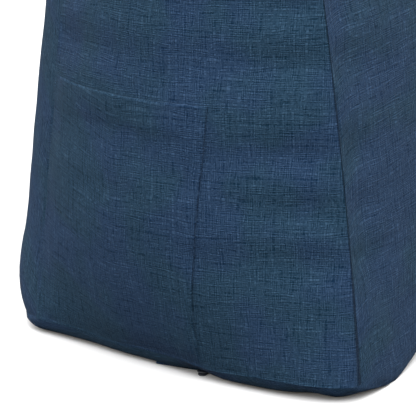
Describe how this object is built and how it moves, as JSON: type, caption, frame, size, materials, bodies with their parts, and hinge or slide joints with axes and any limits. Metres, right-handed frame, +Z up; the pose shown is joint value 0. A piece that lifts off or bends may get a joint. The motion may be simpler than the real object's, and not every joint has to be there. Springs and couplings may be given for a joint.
{
  "type": "wedge back cushion",
  "caption": "Plump wedge-shaped back cushion that stands on its base, with a patch pocket on one end and a lapped zip along the base.",
  "frame": {"origin": "on the floor under the middle of the base", "axes": "+Z up, +X along the cushion's length away from the pocket end, -Y out of the front panel, +Y out of the back panel"},
  "size_m": [0.6018, 0.2304, 0.5002],
  "materials": {
    "cover_cloth": "matte slub weave in navy and teal-blue yarns, linen look",
    "zip_coating": "dark enamelled zip slider, semi-matte"
  },
  "bodies": {
    "root": {"cushion": "cover_cloth", "pocket": "cover_cloth", "zip_flap": "cover_cloth", "zip_slider": "zip_coating"}
  },
  "joints": []
}
